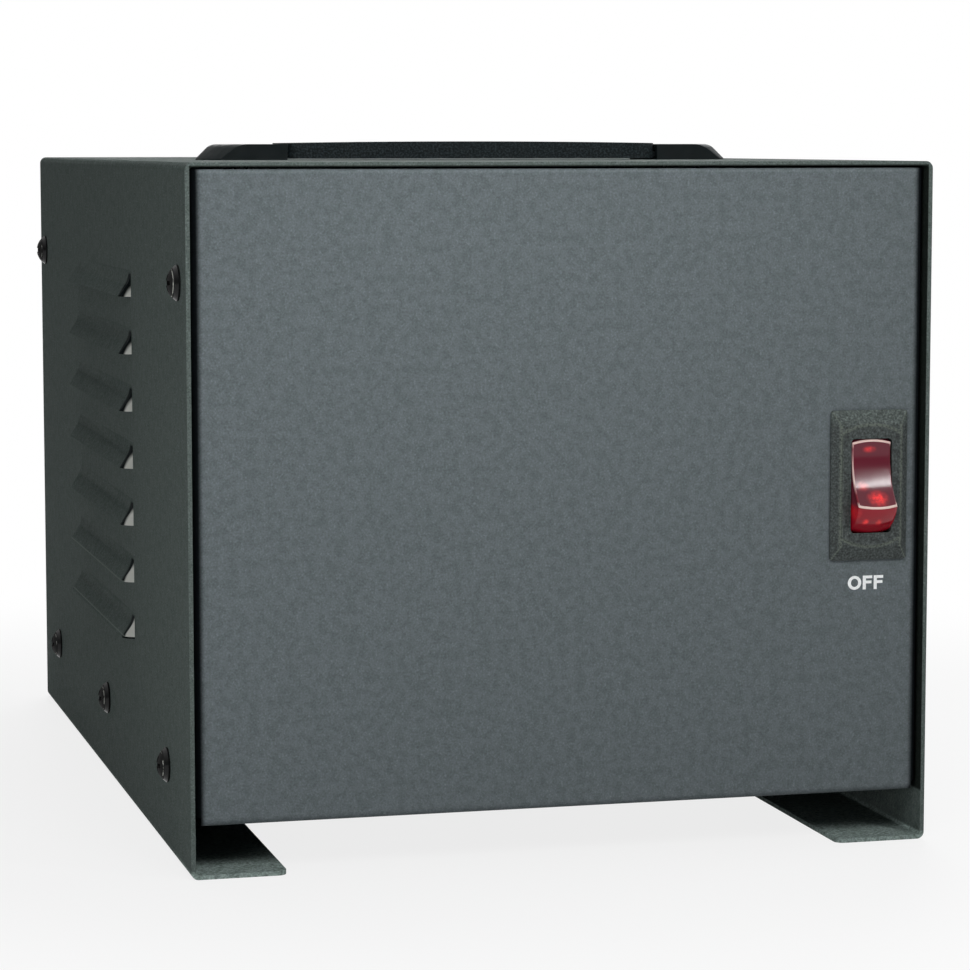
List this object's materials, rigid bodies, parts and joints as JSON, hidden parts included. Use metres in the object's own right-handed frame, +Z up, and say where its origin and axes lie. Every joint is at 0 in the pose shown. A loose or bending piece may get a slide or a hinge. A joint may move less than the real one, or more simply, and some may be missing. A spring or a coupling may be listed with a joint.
{
  "type": "isolation transformer",
  "caption": "Bench isolation transformer in a folded sheet case with louvred sides, strap handle, lighted rocker switch, rear outlets, breaker and cord bushing.",
  "frame": {"origin": "on the table, under the middle of the case: bottom centre of the object's box", "axes": "+Z up, +X to the right as seen from the front, -Y out of the front panel, +Y out of the rear panel"},
  "size_m": [0.2094, 0.3076, 0.1903],
  "materials": {
    "cover_paint": "satin",
    "panel_paint": "satin",
    "black_screw": "gloss",
    "zinc_steel": "satin",
    "strap_vinyl": "satin",
    "cap_plastic": "satin",
    "switch_plastic": "satin",
    "rocker_red": "gloss",
    "lamp_glass": "gloss",
    "copper": "satin",
    "brass": "satin",
    "core_steel": "matte",
    "nylon": "satin",
    "coil_wrap": "satin",
    "outlet_plastic": "satin",
    "breaker_black": "satin",
    "button_red": "satin",
    "bushing_nylon": "satin",
    "board_green": "gloss",
    "film_yellow": "satin",
    "varistor_blue": "satin",
    "print_white": "satin"
  },
  "bodies": {
    "case": {"cover": "cover_paint", "chassis": "panel_paint", "rear_panel": "panel_paint", "side_screws": "black_screw", "clinch_nuts": "zinc_steel", "handle_strap": "strap_vinyl", "handle_end_caps": "cap_plastic", "handle_screws": "black_screw", "handle_nuts": "zinc_steel", "switch_housing": "switch_plastic", "switch_terminals": "brass", "core_e_stack": "core_steel", "core_i_stack": "core_steel", "core_feet": "zinc_steel", "core_clamps": "zinc_steel", "core_bolts": "zinc_steel", "core_nuts": "zinc_steel", "floor_bolts": "zinc_steel", "floor_nuts": "zinc_steel", "bobbin": "nylon", "primary_winding": "copper", "copper_screen": "copper", "secondary_winding": "copper", "coil_wrap": "coil_wrap", "outlet_left": "outlet_plastic", "outlet_right": "outlet_plastic", "outlet_straps": "zinc_steel", "outlet_contacts": "brass", "outlet_screws": "zinc_steel", "breaker_body": "breaker_black", "breaker_nut": "black_screw", "cord_bushing": "bushing_nylon", "filter_board": "board_green", "board_standoffs": "zinc_steel", "film_capacitors": "film_yellow", "varistors": "varistor_blue", "filter_choke": "copper", "ground_stud": "brass"},
    "rocker": {"rocker": "rocker_red", "rocker_plunger": "brass", "neon_lamp": "lamp_glass"},
    "contact": {"switch_contact": "copper"},
    "button": {"reset_button": "button_red"}
  },
  "joints": [
    {"name": "rocker_pivot", "type": "hinge", "parent": "case", "child": "rocker", "pos_m": [0.0847, -0.1405, 0.0978], "axis": [1, 0, 0], "range_deg": [0, 36]},
    {"name": "contact_seesaw", "type": "hinge", "parent": "case", "child": "contact", "pos_m": [0.0847, -0.1262, 0.0978], "axis": [1, 0, 0], "range_deg": [-16, 0]},
    {"name": "reset_slide", "type": "slide", "parent": "case", "child": "button", "axis": [0, 1, 0], "range_m": [0, 0.0035]}
  ],
  "couplings": [
    {"joint": "contact_seesaw", "follows": "rocker_pivot", "ratio": -0.44444}
  ]
}
